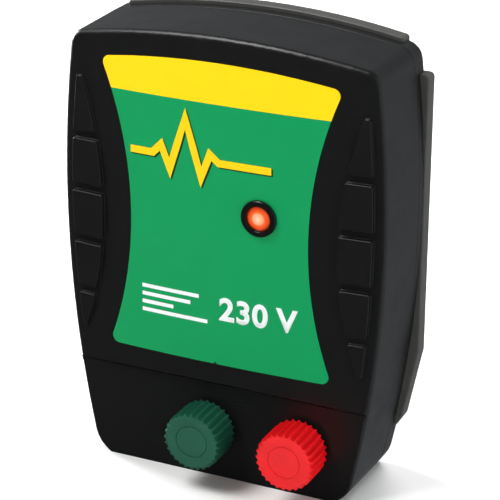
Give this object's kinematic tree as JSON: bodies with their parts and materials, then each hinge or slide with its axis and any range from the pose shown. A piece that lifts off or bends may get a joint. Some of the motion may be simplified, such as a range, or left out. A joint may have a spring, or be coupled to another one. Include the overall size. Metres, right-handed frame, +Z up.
{
  "type": "fence energizer",
  "caption": "Wall-hung mains fence energizer: bowed black case, hourglass label, orange pulse lamp and knurled earth and fence terminal knobs.",
  "frame": {"origin": "middle of the flat underside of the front housing, on the case's centre plane", "axes": "+Z up, -Y out of the front with the label and knobs, +Y towards the wall, +X to the right seen from the front"},
  "size_m": [0.185, 0.0811, 0.2491],
  "materials": {
    "black_shell": "black moulded plastic, finely eroded texture",
    "black_trim": "black moulded plastic, semi-gloss",
    "label_print": "printed film, green field with a yellow band",
    "orange_lens": "translucent orange plastic",
    "clear_acrylic": "clear, polished",
    "green_knob": "dark green moulded plastic, satin",
    "red_knob": "red moulded plastic, satin",
    "brass": "turned brass",
    "plated_steel": "zinc-plated steel",
    "seal_rubber": "soft black rubber",
    "board_laminate": "green glass-epoxy laminate",
    "aluminium": "extruded aluminium",
    "ceramic_body": "white ceramic body",
    "core_steel": "stacked silicon steel sheets, lacquered",
    "winding_tape": "yellow polyester tape over copper wire"
  },
  "bodies": {
    "housing": {"front_housing": "black_shell", "rear_housing": "black_shell", "wall_bracket": "black_shell", "housing_seal": "seal_rubber", "front_label": "label_print", "lamp_bezel": "black_trim", "lamp_lens": "orange_lens", "light_guide": "clear_acrylic", "pulse_led": "orange_lens", "earth_stud": "plated_steel", "fence_stud": "plated_steel", "earth_collar": "black_trim", "fence_collar": "black_trim", "terminal_nuts": "plated_steel", "ring_terminals": "plated_steel", "earth_lead": "green_knob", "fence_lead": "red_knob", "circuit_board": "board_laminate", "board_screws": "plated_steel", "heat_sink": "aluminium", "thyristor": "black_trim", "smoothing_capacitors": "black_trim", "rectifier_diodes": "black_trim", "charging_resistors": "ceramic_body", "fuse_clips": "plated_steel", "mains_fuse": "clear_acrylic", "mains_terminal_block": "black_trim", "transformer_core": "core_steel", "transformer_bobbin": "black_trim", "transformer_winding": "winding_tape", "transformer_strap": "plated_steel", "storage_capacitor": "aluminium", "capacitor_clip": "plated_steel", "clip_screws": "plated_steel", "cable_gland": "seal_rubber", "cord_clamp": "black_trim", "clamp_screws": "plated_steel", "case_screws": "plated_steel", "bracket_screws": "plated_steel"},
    "earth_clamp": {"earth_clamp_washer": "plated_steel"},
    "earth_knob_body": {"earth_knob": "green_knob", "earth_knob_insert": "brass"},
    "fence_clamp": {"fence_clamp_washer": "plated_steel"},
    "fence_knob_body": {"fence_knob": "red_knob", "fence_knob_insert": "brass"}
  },
  "joints": [
    {"name": "earth_clamp_travel", "type": "slide", "parent": "housing", "child": "earth_clamp", "axis": [0, -1, 0], "range_m": [0, 0.00501]},
    {"name": "earth_knob_turn", "type": "hinge", "parent": "earth_clamp", "child": "earth_knob_body", "pos_m": [-0.0054, -0.04, 0.03], "axis": [0, -1, 0], "range_deg": [0, 1440]},
    {"name": "fence_clamp_travel", "type": "slide", "parent": "housing", "child": "fence_clamp", "axis": [0, -1, 0], "range_m": [0, 0.00501]},
    {"name": "fence_knob_turn", "type": "hinge", "parent": "fence_clamp", "child": "fence_knob_body", "pos_m": [0.0477, -0.04, 0.03], "axis": [0, -1, 0], "range_deg": [0, 1440]}
  ],
  "couplings": [
    {"joint": "earth_clamp_travel", "follows": "earth_knob_turn", "m_per_rad": 0.00019894},
    {"joint": "fence_clamp_travel", "follows": "fence_knob_turn", "m_per_rad": 0.00019894}
  ]
}
